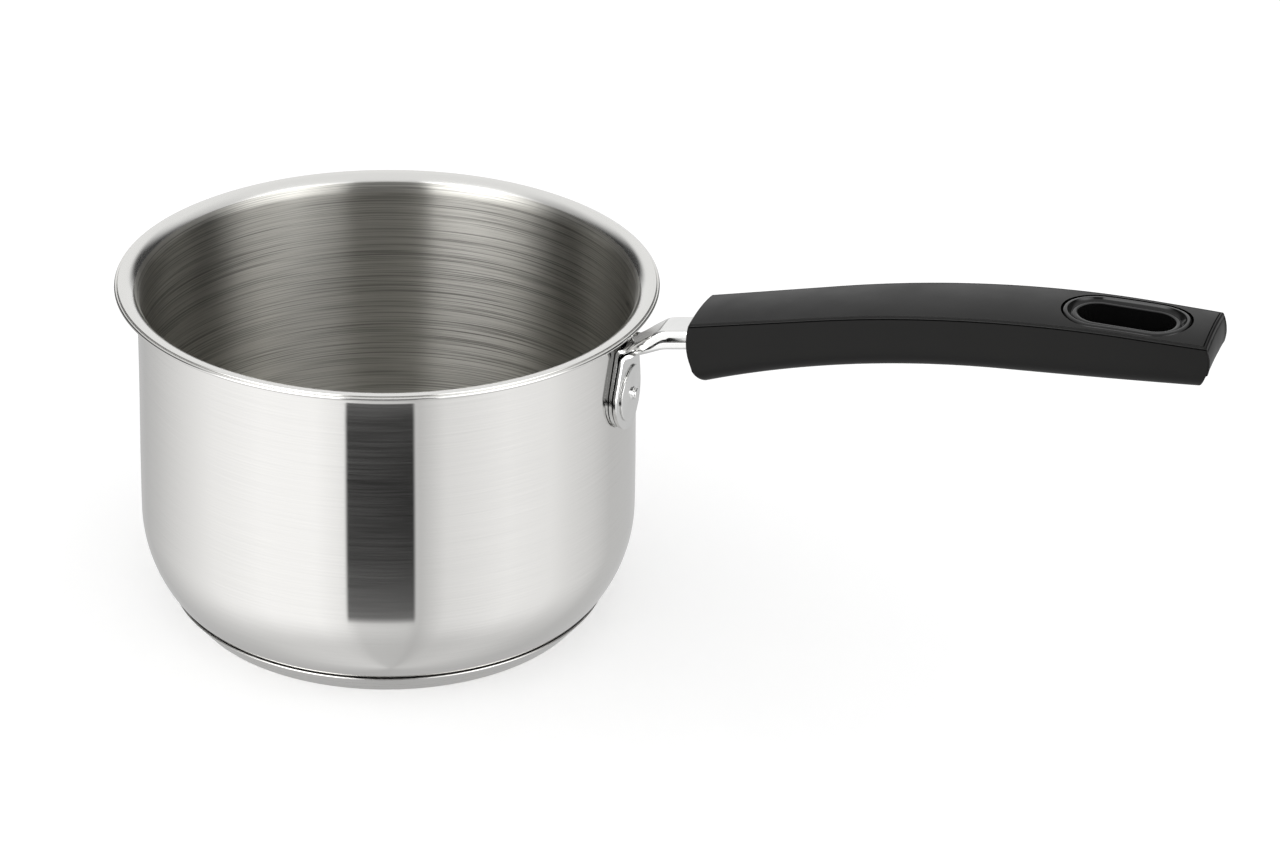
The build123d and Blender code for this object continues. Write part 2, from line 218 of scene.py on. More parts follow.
# The pan body is one sheet of stainless steel, deep drawn, with a flared rim and a rounded lip.
# It is turned from its section. The outside is satin, and the inside is brushed round and round, its colour
# painted darker than the outside's as painted shade.
body_low, body_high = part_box("pan_shell")
body_sheet = 0.0008
mouth_radius = 0.0801
flare_radius = 0.0052
neck_length = 0.0109
belly_swell = 0.00075
belly_height = 0.035
side_radius = 0.044
heel_radius = 0.007
body_segments = 240
bead_radius = 0.0006
bead_drop = 0.00042
bead_crease = math.radians(127.0)
shoulder_radius = 0.0003
polish_radius = 0.0815
polish_edge = 0.0001
floor_steps = 10
heel_steps = 12
side_steps = 24
swell_steps = 20
flare_steps = 20
weld_distance = 1e-6
twin_distance = 1e-7
corner_angle = math.radians(38.0)
steel_hue = (1.0, 0.989, 0.967)
satin_lines = 1500.0
satin_strokes = 14.0
satin_shares = (0.97, 1.03)
satin_shade = 0.745
satin_rough = (0.06, 0.095)
inside_lines = 2500.0
inside_strokes = 9.0
# The inside's two colours are painted shade: the same steel as the outside, painted darker. Only the brush
# lines between them are real.
inside_painted_shade_dark = (0.24, 0.236, 0.222)
inside_painted_shade_light = (0.60, 0.589, 0.552)
inside_rough = (0.30, 0.36)
rim_colour = (0.76, 0.755, 0.735)
rim_rough = 0.14
upward_share = 0.3
quarter = math.pi / 2
floor_height = body_low.z
neck_radius = mouth_radius + body_sheet
belly_radius = neck_radius + belly_swell
flare_centre = neck_radius + flare_radius
flare_height = body_high.z - body_sheet - flare_radius
bead_centre = (body_high.x - bead_radius, body_high.z - bead_drop - bead_radius)
shoulder_end = bead_centre[0] + bead_radius * math.cos(bead_crease)
heel_turn = math.asin((belly_height - heel_radius - floor_height) / (side_radius - heel_radius))
heel_centre = (
    belly_radius - side_radius + (side_radius - heel_radius) * math.cos(heel_turn),
    belly_height - (side_radius - heel_radius) * math.sin(heel_turn),
)


def arc(centre, radius, start, end, steps):
    """Points on an arc, with both ends, from one angle to another."""
    turns = [start + (end - start) * k / steps for k in range(steps + 1)]
    return [(centre[0] + radius * math.cos(a), centre[1] + radius * math.sin(a)) for a in turns]


def ease(value, low, high):
    """Nought below one value, one above the other, and smooth between."""
    share = min(1.0, max(0.0, (value - low) / (high - low)))
    return share * share * (3 - 2 * share)


def body_line(inset):
    """The section from the floor's middle to the flare's end, so far inside the outer surface."""
    wall = neck_radius - inset
    neck_foot = flare_height - neck_length
    floor = [(heel_centre[0] * k / floor_steps, floor_height + inset) for k in range(floor_steps)]
    heel = arc(heel_centre, heel_radius - inset, -quarter, -heel_turn, heel_steps)
    side = arc((belly_radius - side_radius, belly_height), side_radius - inset, -heel_turn, 0, side_steps)
    rise = []
    for k in range(1, swell_steps):
        radius = belly_radius - inset - belly_swell * ease(k, 0, swell_steps)
        rise.append((radius, belly_height + (neck_foot - belly_height) * k / swell_steps))
    neck = [(wall, neck_foot), (wall, flare_height - neck_length / 2)]
    flare = arc((flare_centre, flare_height), flare_radius + inset, 2 * quarter, quarter, flare_steps)
    return floor + heel + side[1:] + rise + neck + flare


def lathe_tree():
    """Turns a section's points once round Z: vertex rings by index, then the seam and poles are merged."""
    tree = bpy.data.node_groups.new("lathe", "GeometryNodeTree")
    sockets = (
        ("Section", "INPUT", "NodeSocketGeometry"),
        ("Segments", "INPUT", "NodeSocketInt"),
        ("Material", "INPUT", "NodeSocketMaterial"),
        ("Turned", "OUTPUT", "NodeSocketGeometry"),
    )
    for name, side, kind in sockets:
        tree.interface.new_socket(name, in_out=side, socket_type=kind)
    given = tree.nodes.new("NodeGroupInput")
    section, segments = given.outputs["Section"], given.outputs["Segments"]
    count = add_node(tree, "GeometryNodeAttributeDomainSize", {"Geometry": section}).outputs["Point Count"]
    columns = math_node(tree, "ADD", segments, 1.0)
    grid = add_node(tree, "GeometryNodeMeshGrid", {"Vertices X": columns, "Vertices Y": count})
    index = add_node(tree, "GeometryNodeInputIndex").outputs[0]
    column = math_node(tree, "FLOOR", math_node(tree, "DIVIDE", math_node(tree, "ADD", index, 0.5), count))
    ring = math_node(tree, "SUBTRACT", index, math_node(tree, "MULTIPLY", column, count))
    place = add_node(tree, "GeometryNodeInputPosition").outputs[0]
    wanted = {"Geometry": section, "Value": place, "Index": math_node(tree, "ROUND", ring)}
    sample = add_node(tree, "GeometryNodeSampleIndex", wanted, data_type="FLOAT_VECTOR")
    turn = math_node(tree, "DIVIDE", math_node(tree, "MULTIPLY", column, math.tau), segments)
    round_axis = {"Vector": sample.outputs["Value"], "Angle": turn}
    turned = add_node(tree, "ShaderNodeVectorRotate", round_axis, rotation_type="Z_AXIS").outputs[0]
    skin = {"Geometry": grid.outputs["Mesh"], "Position": turned}
    placed = add_node(tree, "GeometryNodeSetPosition", skin).outputs[0]
    welds = {"Geometry": placed, "Distance": weld_distance}
    merged = add_node(tree, "GeometryNodeMergeByDistance", welds).outputs[0]
    whole = add_node(tree, "GeometryNodeRealizeInstances", {"Geometry": merged}).outputs[0]
    finish = {"Geometry": whole, "Material": given.outputs["Material"]}
    dressed = add_node(tree, "GeometryNodeSetMaterial", finish)
    result = tree.nodes.new("NodeGroupOutput")
    tree.links.new(dressed.outputs[0], result.inputs[0])
    return tree


lathe = lathe_tree()


def finished(name, mesh, place=None):
    """An object at the origin for a finished mesh, with faces outward and smooth but for its corners."""
    if place is not None:
        mesh.transform(place)
    shape = bmesh.new()
    shape.from_mesh(mesh)
    bmesh.ops.remove_doubles(shape, verts=shape.verts, dist=twin_distance)
    bmesh.ops.dissolve_degenerate(shape, edges=shape.edges, dist=twin_distance)
    bmesh.ops.recalc_face_normals(shape, faces=shape.faces)
    shape.to_mesh(mesh)
    shape.free()
    mesh.shade_smooth()
    mesh.set_sharp_from_angle(angle=corner_angle)
    mesh.name = name
    piece = bpy.data.objects.new(name, mesh)
    bpy.context.scene.collection.objects.link(piece)
    return piece


def applied(holder):
    """The plain mesh that an object's modifiers give, with the holder object cleared away."""
    graph = bpy.context.evaluated_depsgraph_get()
    mesh = bpy.data.meshes.new_from_object(holder.evaluated_get(graph))
    bpy.data.objects.remove(holder)
    return mesh


def turned(name, section, segments, material, place=None):
    """A section of (radius, height) points, from the axis back to the axis, turned into a plain mesh."""
    mesh = bpy.data.meshes.new(name)
    points = [(radius, 0, height) for radius, height in section]
    mesh.from_pydata(points, [(k, k + 1) for k in range(len(points) - 1)], [])
    holder = bpy.data.objects.new(name, mesh)
    bpy.context.scene.collection.objects.link(holder)
    modifier = holder.modifiers.new("lathe", "NODES")
    modifier.node_group = lathe
    for item in lathe.interface.items_tree:
        if item.name == "Segments":
            modifier[item.identifier] = segments
        if item.name == "Material":
            modifier[item.identifier] = material
    bpy.context.view_layer.update()
    mesh = applied(holder)
    mesh.materials.clear()
    mesh.materials.append(material)
    mesh.polygons.foreach_set("material_index", [0] * len(mesh.polygons))
    return finished(name, mesh, place)


def object_place(tree):
    """A point's place on its object, that place without its height, and its distance from the Z axis."""
    place = add_node(tree, "ShaderNodeTexCoord").outputs["Object"]
    flat = add_node(tree, "ShaderNodeVectorMath", {0: place, 1: (1, 1, 0)}, operation="MULTIPLY").outputs[0]
    radius = add_node(tree, "ShaderNodeVectorMath", {0: flat}, operation="LENGTH").outputs["Value"]
    return place, flat, radius


def noise_node(tree, place, scale, detail, roughness=0.5):
    """Smooth noise, from nought to one."""
    numbers = {"Vector": place, "Scale": scale, "Detail": detail, "Roughness": roughness}
    return add_node(tree, "ShaderNodeTexNoise", numbers).outputs["Fac"]


def brush_group():
    """Fine lines that run round the Z axis: long thin noise on (heading, radius plus height)."""
    tree = bpy.data.node_groups.new("round brushing", "ShaderNodeTree")
    sockets = {"Lines per Metre": "INPUT", "Strokes per Turn": "INPUT", "Broad": "OUTPUT", "Fine": "OUTPUT"}
    for name, side in sockets.items():
        tree.interface.new_socket(name, in_out=side, socket_type="NodeSocketFloat")
    given = tree.nodes.new("NodeGroupInput")
    out = tree.nodes.new("NodeGroupOutput")
    place, flat, radius = object_place(tree)
    height = add_node(tree, "ShaderNodeSeparateXYZ", {0: place}).outputs["Z"]
    across = math_node(tree, "ADD", height, radius)
    heading = add_node(tree, "ShaderNodeVectorMath", {0: flat}, operation="NORMALIZE").outputs[0]
    strokes = math_node(tree, "DIVIDE", given.outputs["Strokes per Turn"], math.tau)
    stroke = {0: heading, "Scale": strokes}
    round_part = add_node(tree, "ShaderNodeVectorMath", stroke, operation="SCALE").outputs[0]
    for name, share, detail in (("Broad", 1.0, 2.0), ("Fine", 3.1, 3.0)):
        lines = math_node(tree, "MULTIPLY", given.outputs["Lines per Metre"], share)
        row = math_node(tree, "MULTIPLY", across, lines)
        line_part = add_node(tree, "ShaderNodeCombineXYZ", {"Z": row}).outputs[0]
        both = {0: round_part, 1: line_part}
        spot = add_node(tree, "ShaderNodeVectorMath", both, operation="ADD").outputs[0]
        noise = noise_node(tree, spot, 1.0, detail, 0.6)
        tree.links.new(ramp_node(tree, noise, 0.3, 0.7, kind="LINEAR"), out.inputs[name])
    return tree


round_brushing = brush_group()


def new_material(name, shader):
    """A material with one Principled shader, its numbers set on the shader itself, and its tree."""
    material = bpy.data.materials.new(name)
    material.use_nodes = True
    tree = material.node_tree
    tree.nodes.clear()
    surface = add_node(tree, "ShaderNodeBsdfPrincipled", shader)
    add_node(tree, "ShaderNodeOutputMaterial", {"Surface": surface.outputs[0]})
    return material, tree, surface


def feed(surface, **values):
    """Links what changes over the surface to the shader's sockets, named with _ for a space."""
    for name, value in values.items():
        surface.id_data.links.new(value, surface.inputs[name.replace("_", " ")])


def brush_node(tree, lines, strokes):
    """The round brushing group with this material's own scale."""
    node = tree.nodes.new("ShaderNodeGroup")
    node.node_tree = round_brushing
    node.inputs["Lines per Metre"].default_value = lines
    node.inputs["Strokes per Turn"].default_value = strokes
    return node


def tint(tree, mask, first, second):
    """A colour between two, each a socket or three numbers, by a mask."""
    ends = [end if isinstance(end, bpy.types.NodeSocket) else (*end, 1) for end in (first, second)]
    return add_node(tree, "ShaderNodeMix", {0: mask, 6: ends[0], 7: ends[1]}, data_type="RGBA").outputs[2]


def round_grain(tree):
    """The direction round the Z axis, along which brushed steel stretches what it shows."""
    return add_node(tree, "ShaderNodeTangent", direction_type="RADIAL", axis="Z").outputs[0]


def satin_steel(name, shade, roughness, anisotropy):
    """Steel polished round and round: it blurs what it shows up and down, and hardly at all sideways."""
    numbers = {"Metallic": 1.0, "Anisotropic": anisotropy, "Anisotropic Rotation": 0.25}
    material, tree, surface = new_material(name, numbers)
    brush = brush_node(tree, satin_lines, satin_strokes)
    dark, light = ([share * shade * part for part in steel_hue] for share in satin_shares)
    grey = tint(tree, brush.outputs["Fine"], dark, light)
    rough = ramp_node(tree, brush.outputs["Broad"], 0.0, 1.0, *roughness, "LINEAR")
    feed(surface, Base_Color=grey, Roughness=rough, Tangent=round_grain(tree))
    return material


def brushed_steel_painted_shade():
    """Steel brushed in fine rings down to the floor, with its colour painted darker than the outside's as
    painted shade, and polished from the rim's inner edge outwards, where it is about as light as the outside.
    """
    numbers = {"Metallic": 1.0, "Anisotropic": 1.0, "Anisotropic Rotation": 0.25}
    material, tree, surface = new_material("brushed_steel_painted_shade", numbers)
    brush = brush_node(tree, inside_lines, inside_strokes)
    radius = object_place(tree)[2]
    rim = ramp_node(tree, radius, polish_radius - polish_edge, polish_radius + polish_edge)
    crisp = ramp_node(tree, brush.outputs["Broad"], 0.12, 0.60, kind="LINEAR")
    lines = between(tree, 0.35, crisp, brush.outputs["Fine"])
    # The two colours that the brush lines pick between are painted darker than the outside steel, as painted
    # shade. The lines themselves are real.
    inside = tint(tree, lines, inside_painted_shade_dark, inside_painted_shade_light)
    rough = ramp_node(tree, brush.outputs["Broad"], 0.0, 1.0, *inside_rough, "LINEAR")
    feed(
        surface,
        Base_Color=tint(tree, rim, inside, rim_colour),
        Roughness=between(tree, rim, rough, rim_rough),
        Tangent=round_grain(tree),
    )
    return material


def pan_body():
    outside = body_line(0.0)
    inside = body_line(body_sheet)
    start = math.pi - math.asin((outside[-1][1] - bead_centre[1]) / bead_radius)
    bead = arc(bead_centre, bead_radius, start, math.tau + bead_crease, 28)
    shoulder_centre = (shoulder_end - shoulder_radius, body_high.z - shoulder_radius)
    shoulder = arc(shoulder_centre, shoulder_radius, 0, quarter, 6)
    section = outside + bead + shoulder + inside[::-1]
    satin = satin_steel("satin_steel", satin_shade, satin_rough, 1.0)
    piece = turned("pan_body", section, body_segments, satin)
    # Faces that look up or inwards take the inside steel, whose colour is painted darker as painted shade,
    # save the polished rim.
    piece.data.materials.append(brushed_steel_painted_shade())
    for face in piece.data.polygons:
        centre = face.center
        outward = face.normal.x * centre.x + face.normal.y * centre.y
        inward_facing = outward < -upward_share * math.hypot(centre.x, centre.y)
        face.material_index = int(face.normal.z > upward_share or inward_facing)
    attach(piece, "root")
    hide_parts("pan_shell")


pan_body()


# The base is a capsule: a thick aluminium disc brazed under the body, closed by a shallow stainless cap.
# The cap is pressed on, so a thin dark seam is left between its rolled edge and the body.
cap_low, cap_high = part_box("base_cap")
cap_sheet = 0.0006
cap_lean = 0.0056
cap_foot_round = 0.0008
cap_edge = 0.00028
cap_shade = 0.67
cap_rough = (0.26, 0.34)
cap_stretch = 0.6
core_colour = (0.78, 0.78, 0.78)
core_rough = 0.4
core_lines = 900.0
plain_strokes = 30.0
plain_dark_share = 0.85


def plain_metal(name, colour, roughness, lines):
    """A turned or rolled metal that no one polishes, with faint lines and an uneven sheen."""
    material, tree, surface = new_material(name, {"Metallic": 1.0})
    brush = brush_node(tree, lines, plain_strokes)
    grey = tint(tree, brush.outputs["Fine"], [plain_dark_share * part for part in colour], colour)
    rough = ramp_node(tree, brush.outputs["Broad"], 0.0, 1.0, roughness - 0.05, roughness + 0.08, "LINEAR")
    feed(surface, Base_Color=grey, Roughness=rough)
    return material


def dress(name, material):
    """Gives a hidden piece its finish."""
    nodes[name].data.materials.clear()
    nodes[name].data.materials.append(material)


def base():
    radius = cap_high.x
    top = cap_high.z - cap_edge
    foot = radius - cap_lean
    turn = math.atan2(cap_high.z, cap_lean)
    corner = (foot - cap_foot_round * math.tan(turn / 2), cap_foot_round)
    outside = [(0, 0)] + arc(corner, cap_foot_round, -quarter, turn - quarter, 8)
    edge = arc((radius - cap_edge, top), cap_edge, turn - quarter, quarter, 8)
    edge += arc((radius - cap_sheet + cap_edge, top), cap_edge, quarter, 2 * quarter, 4)
    inside = [(foot - cap_sheet / 2, cap_sheet), (0, cap_sheet)]
    steel = satin_steel("cap_steel", cap_shade, cap_rough, cap_stretch)
    piece = turned("base_cap_skin", outside + edge + inside, body_segments, steel)
    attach(piece, "root")
    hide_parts("base_cap")
    dress("base_core", plain_metal("plain_aluminium", core_colour, core_rough, core_lines))


base()


# The bracket is two stamped straps of bright steel, one on the other on the wall.
# Above the wall they part, and their edges fold towards each other to make a hollow arm.
upper_low, upper_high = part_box("bracket_upper_strap")
lower_low, lower_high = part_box("bracket_lower_strap")
strap_sheet = 0.0012
strap_edge = 0.00028
foot_radius = upper_high.y
foot_height = upper_low.z + foot_radius
foot_gap = 0.00025
neck_half = 0.0075
arm_half = 0.00625
arm_tilt = math.radians(10.0)
arm_length = 0.040
arm_reach = 0.0136
arm_depth = 0.0066
upper_bend_height = 0.1052
lower_bend_height = 0.1034
fold_radius = 0.0016
most_fold_share = 0.3
most_flange_share = 0.25
least_turn = 1e-4
upper_bend_radii = (0.003, 0.009)
lower_bend_radii = (0.002, 0.012)
upper_sheet = 0.001
leaf_gap = 0.0001
arm_drop = 0.0005
row_step = 0.0006
last_row = 0.0025
strap_columns = (8, 6, 3)
upper_fold_start = -0.001
fold_end_share = 0.7
round_ends_past = (-0.001, 0.006)
bend_steps = 16
upper_flange = (0.0, ((0.0026, -0.014, -0.004), (-0.0016, 0.0008, 0.0028)))
lower_flange = (0.0002, ((0.0013, -0.004, 0.001),))
steel_dark = (0.76, 0.76, 0.75)
steel_light = (0.86, 0.86, 0.85)
arm_top = (neck_radius + arm_reach, body_high.z - arm_drop)
arm_along = (math.cos(arm_tilt), math.sin(arm_tilt))
arm_below = (arm_top[0] + arm_depth * arm_along[1], arm_top[1] - arm_depth * arm_along[0])


def bent_line(corners, radii, steps):
    """A line with rounded bends: arrays of length along it, x, z and heading."""
    points = [(*corners[0], math.atan2(corners[1][1] - corners[0][1], corners[1][0] - corners[0][0]))]
    for before, corner, after, radius in zip(corners, corners[1:], corners[2:], radii):
        first = math.atan2(corner[1] - before[1], corner[0] - before[0])
        second = math.atan2(after[1] - corner[1], after[0] - corner[0])
        reach = radius * math.tan(abs(second - first) / 2)
        side = math.copysign(quarter, second - first)
        start = (corner[0] - reach * math.cos(first), corner[1] - reach * math.sin(first))
        centre = (start[0] + radius * math.cos(first + side), start[1] + radius * math.sin(first + side))
        for k in range(steps + 1):
            heading = first + (second - first) * k / steps
            x = centre[0] - radius * math.cos(heading + side)
            points.append((x, centre[1] - radius * math.sin(heading + side), heading))
    points.append((*corners[-1], points[-1][2]))
    x, z, heading = np.array(points).T
    along = np.concatenate(([0.0], np.cumsum(np.hypot(np.diff(x), np.diff(z)))))
    return along, x, z, heading


def strap_row(half, turn, flange):
    """One cross-section of a strap: a flat web, a soft fold on each side and a straight flange."""
    web_steps, fold_steps, flange_steps = strap_columns
    fold = min(fold_radius * quarter, most_fold_share * half)
    flange = min(flange, most_flange_share * half)
    bend = max(turn, least_turn)
    radius = fold / bend
    flat = half - radius * math.sin(bend) - flange * math.cos(bend)
    side = [(flat * k / web_steps, 0.0) for k in range(web_steps + 1)]
    for k in range(1, fold_steps + 1):
        angle = bend * k / fold_steps
        side.append((flat + radius * math.sin(angle), radius * (1 - math.cos(angle))))
    folded = side[-1]
    for k in range(1, flange_steps + 1):
        step = flange * k / flange_steps
        side.append((folded[0] + step * math.cos(bend), folded[1] + step * math.sin(bend)))
    return [(-y, depth) for y, depth in side[:0:-1]] + side


def foot_half(height, bend_height):
    """Half the width of a strap's foot: a round, then straight sides that leave it at a tangent."""
    rise = bend_height - foot_height
    touch = math.atan2(rise, neck_half) - math.acos(foot_radius / math.hypot(neck_half, rise))
    up = height - foot_height
    if up < foot_radius * math.sin(touch):
        return math.sqrt(max(0.0, foot_radius**2 - up**2))
    share = (up - foot_radius * math.sin(touch)) / (rise - foot_radius * math.sin(touch))
    return foot_radius * math.cos(touch) * (1 - share) + neck_half * share


def grid_faces(rows, count, round_rows=True, round_ends=False):
    """Faces between rows of points. Each row can join up round, and so can the last row with the first."""
    faces = []
    for row in range(rows if round_ends else rows - 1):
        below, above = row * count, (row + 1) % rows * count
        for k in range(count if round_rows else count - 1):
            after = (k + 1) % count
            faces.append((below + k, below + after, above + after, above + k))
    return faces


def strap(name, node, corners, radii, bend_height, side, fold_start, flange, sheet):
    """A strap from its foot's lowest point to the arm's end. side is 1 where it folds down, -1 where up.

    fold_start is where the edges start to fold, from the foot's top. flange is its least depth and the
    depths it gains, each between two lengths from the arm's start."""
    along, xs, zs, headings = bent_line(corners, radii, bend_steps)
    foot_top = bend_height - foot_height + foot_radius
    arm_start = float(along[-1]) - arm_length
    rows = [foot_radius * (1 - math.cos(math.pi * k / 40)) for k in range(1, 28)]
    rows += [length for length in np.arange(rows[-1] + row_step, along[-1] - last_row, row_step)]
    rows += [float(along[-1])]
    fold_end = foot_top + fold_end_share * (arm_start - foot_top)
    points = []
    for length in rows:
        x, z, heading = (float(np.interp(length, along, values)) for values in (xs, zs, headings))
        narrow = ease(length, foot_top, arm_start)
        if length < foot_top:
            half = foot_half(foot_height - foot_radius + length, bend_height)
        else:
            half = neck_half + (arm_half - neck_half) * narrow
        curve = 1.0 - ease(length, foot_top + round_ends_past[0], foot_top + round_ends_past[1])
        down = (side * math.sin(heading), -side * math.cos(heading))
        turn = quarter * ease(length, foot_top + fold_start, fold_end)
        gains = [gain * ease(length, arm_start + low, arm_start + high) for gain, low, high in flange[1]]
        for y, depth in strap_row(half, turn, flange[0] + sum(gains)):
            back = curve * (x - math.sqrt(max(0.0, x * x - y * y)))
            points.append((x + down[0] * depth - back, y, z + down[1] * depth))
    faces = grid_faces(len(rows), 2 * sum(strap_columns) + 1, round_rows=False)
    mesh = bpy.data.meshes.new(name)
    mesh.from_pydata(points, [], faces if side > 0 else [face[::-1] for face in faces])
    holder = bpy.data.objects.new(name, mesh)
    bpy.context.scene.collection.objects.link(holder)
    plate = holder.modifiers.new("sheet", "SOLIDIFY")
    plate.thickness = sheet
    plate.offset = 1.0
    plate.use_even_offset = True
    edge = holder.modifiers.new("edge", "BEVEL")
    edge.width = strap_edge
    edge.segments = 3
    edge.limit_method = "ANGLE"
    edge.angle_limit = math.radians(50.0)
    piece = finished(name, applied(holder))
    piece.data.materials.append(bright_steel)
    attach(piece, "root")
    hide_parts(node)
    return piece


def polished_steel():
    """Bright steel with faint wear."""
    material, tree, surface = new_material("bright_steel", {"Metallic": 1.0})
    place = object_place(tree)[0]
    wear = noise_node(tree, place, 900.0, 3.0)
    grey = tint(tree, noise_node(tree, place, 120.0, 2.0), steel_dark, steel_light)
    rough = ramp_node(tree, wear, 0.3, 0.7, 0.09, 0.17, "LINEAR")
    bump = add_node(tree, "ShaderNodeBump", {"Strength": 0.08, "Distance": 0.00003, "Height": wear})
    feed(surface, Base_Color=grey, Roughness=rough, Normal=bump.outputs[0])
    return material


bright_steel = polished_steel()


def bracket():
    arm_end = (arm_length * arm_along[0], arm_length * arm_along[1])
    upper = [(neck_radius + foot_gap, foot_height - foot_radius), (neck_radius + foot_gap, upper_bend_height)]
    upper += [arm_top, (arm_top[0] + arm_end[0], arm_top[1] + arm_end[1])]
    strap(
        "bracket_upper", "bracket_upper_strap", upper, upper_bend_radii, upper_bend_height, 1,
        upper_fold_start, upper_flange, upper_sheet,
    )
    outer = neck_radius + foot_gap + 2 * strap_sheet + leaf_gap
    lower = [(outer, foot_height - foot_radius), (outer, lower_bend_height)]
    lower += [arm_below, (arm_below[0] + arm_end[0], arm_below[1] + arm_end[1])]
    strap(
        "bracket_lower", "bracket_lower_strap", lower, lower_bend_radii, lower_bend_height, -1,
        0.0, lower_flange, strap_sheet,
    )


bracket()


# One large rivet clamps both feet to the wall. Its thin outer head follows the wall's curve, with a small
# nipple in the middle. Its inner head is a low button inside the pan.
rivet_head = 0.0094
rivet_shank = 0.003
rivet_height = 0.0006
rivet_round = 0.0002
nipple = 0.0019
nipple_height = 0.0015
inner_head = 0.0055
inner_height = 0.0012
inner_round = 0.0006
seat_gap = 0.00005
under_cut = 0.0001
soft_share = 0.3


def rivet():
    seat = neck_radius + foot_gap + 2 * strap_sheet + leaf_gap + seat_gap
    face = seat + rivet_height
    wall = mouth_radius - seat_gap
    button = wall - inner_height
    soft = nipple * soft_share
    section = [(0, button)]
    section += arc((inner_head - inner_round, button + inner_round), inner_round, -quarter, 0, 5)
    section += [(inner_head, wall - under_cut), (rivet_shank, wall)]
    section += [(rivet_shank, seat), (rivet_head - under_cut, seat)]
    section += arc((rivet_head - rivet_round, face - rivet_round), rivet_round, 0, quarter, 5)
    section += arc((nipple + soft, face + soft), soft, 3 * quarter, 2 * quarter, 4)
    section += arc((nipple - soft, face + nipple_height - soft), soft, 0, quarter, 4)
    section += [(0, face + nipple_height)]
    aim = Matrix.Translation((0, 0, foot_height)) @ Matrix.Rotation(quarter, 4, "Y")
    piece = turned("rivet", section, 96, bright_steel, aim)
    for vertex in piece.data.vertices:
        across = vertex.co.y
        inner = vertex.co.x < seat - 2 * under_cut
        bend = wall if inner else seat
        near = 1.0 if not inner else 1.0 - ease(abs(vertex.co.x - bend), 0.0, inner_height)
        vertex.co.x -= near * (bend - math.sqrt(bend * bend - across * across))
    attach(piece, "root")
    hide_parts("bracket_rivet")


rivet()


# The grip is one phenolic moulding, straight at the pan and then gently arched, with a bead along its
# top edges. It has a pocket for the arm and an oval hole to hang the pan by. The long screw that holds
# it, the screw's washer and the arm's end block are hidden inside.
grip_low, grip_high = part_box("handle_grip")
grip_start = grip_low.x
grip_end = grip_high.x
grip_length = grip_end - grip_start
grip_crown = 0.0012
grip_level = grip_high.z - grip_crown
grip_top_rise = math.radians(13.37)
grip_top_arc = 0.4275
grip_top_flat = 0.0238
grip_depth = 0.01965
grip_under_straight = 0.0635
grip_under_rise = math.radians(4.61)
grip_under_arc = 0.3368
grip_half = 0.01445
grip_draft = 0.0006
grip_lower_round = 0.0055
grip_edge = 0.0004
bead_width = 0.00102
bead_side = 0.00055
groove_half = 0.00024
groove_depth = 0.00044
end_round = 0.0006
width_shares = ((0.0, 0.16, 0.34, 0.52, 0.70, 0.86, 1.0), (0.866, 0.903, 0.948, 0.985, 1.0, 0.989, 0.945))
width_curve = np.polynomial.Polynomial.fit(*width_shares, 4)
hole_setback = 0.0287
hole_centre = grip_end - hole_setback
hole_length = 0.0305
hole_width = 0.0139
insert_wall = 0.0016
insert_reach = 0.0046
insert_gap = 0.00022
insert_thick = 0.0028
pan_end_shares = ((0.001, 1.06), (0.0, 0.755), (0.0062, 0.0))
far_end_shares = ((-0.0019, 1.06), (-0.00013, 0.477), (-0.0029, 0.0))
top_shares = (0.0, 0.12, 0.24, 0.36, 0.48, 0.58, 0.67, 0.75, 0.81)
top_steps = (0.0021, 0.0017, 0.0014)
last_top_step = 0.0006
edge_steps = 6
lower_steps = 10
grip_rows = 120
end_steps = 4
side_shares = (0.94, 0.89, 0.82, 0.74, 0.66, 0.58, 0.50, 0.42, 0.36)
pocket_gap = 0.0002
pocket_length = 0.047
overrun = 0.01
hole_chamfer = 0.0003
chamfer_drop = 0.00025
chamfer_rise = 0.00005
phenolic_dark = (0.0020, 0.0020, 0.0020)
phenolic_light = (0.0040, 0.0040, 0.0040)


def grip_top(x):
    """Height of the grip's upper edge: a straight rise, then an arc that ends level."""
    arc_end = grip_end - grip_top_flat
    arc_start = arc_end - grip_top_arc * math.sin(grip_top_rise)
    start = grip_level - grip_top_arc * (1 - math.cos(grip_top_rise))
    if x < arc_start:
        return start + (x - arc_start) * math.tan(grip_top_rise)
    if x > arc_end:
        return grip_level
    return grip_level - grip_top_arc + math.sqrt(grip_top_arc**2 - (arc_end - x) ** 2)


def grip_under(x):
    """Height of the grip's underside: an arc that runs out into a straight, slight rise."""
    arc_end = grip_end - grip_under_straight
    height = grip_level - grip_depth
    if x > arc_end:
        return height + (x - arc_end) * math.tan(grip_under_rise)
    centre = arc_end + grip_under_arc * math.sin(grip_under_rise)
    rise = math.sqrt(grip_under_arc**2 - (x - centre) ** 2)
    return height - grip_under_arc * math.cos(grip_under_rise) + rise


def grip_width(x):
    """Half the grip's width at its upper edge."""
    return grip_half * float(width_curve((x - grip_start) / grip_length))


def grip_surface(x, y):
    """Height of the crowned upper face."""
    half = grip_width(x)
    return grip_top(x) + grip_crown * (1 - min(1.0, (y / half) ** 2))


def groove(distance, middle):
    """Depth of a narrow round-bottomed groove at a distance from an edge."""
    share = abs(distance - middle) / groove_half
    return groove_depth * (1 - share * share) if share < 1 else 0.0


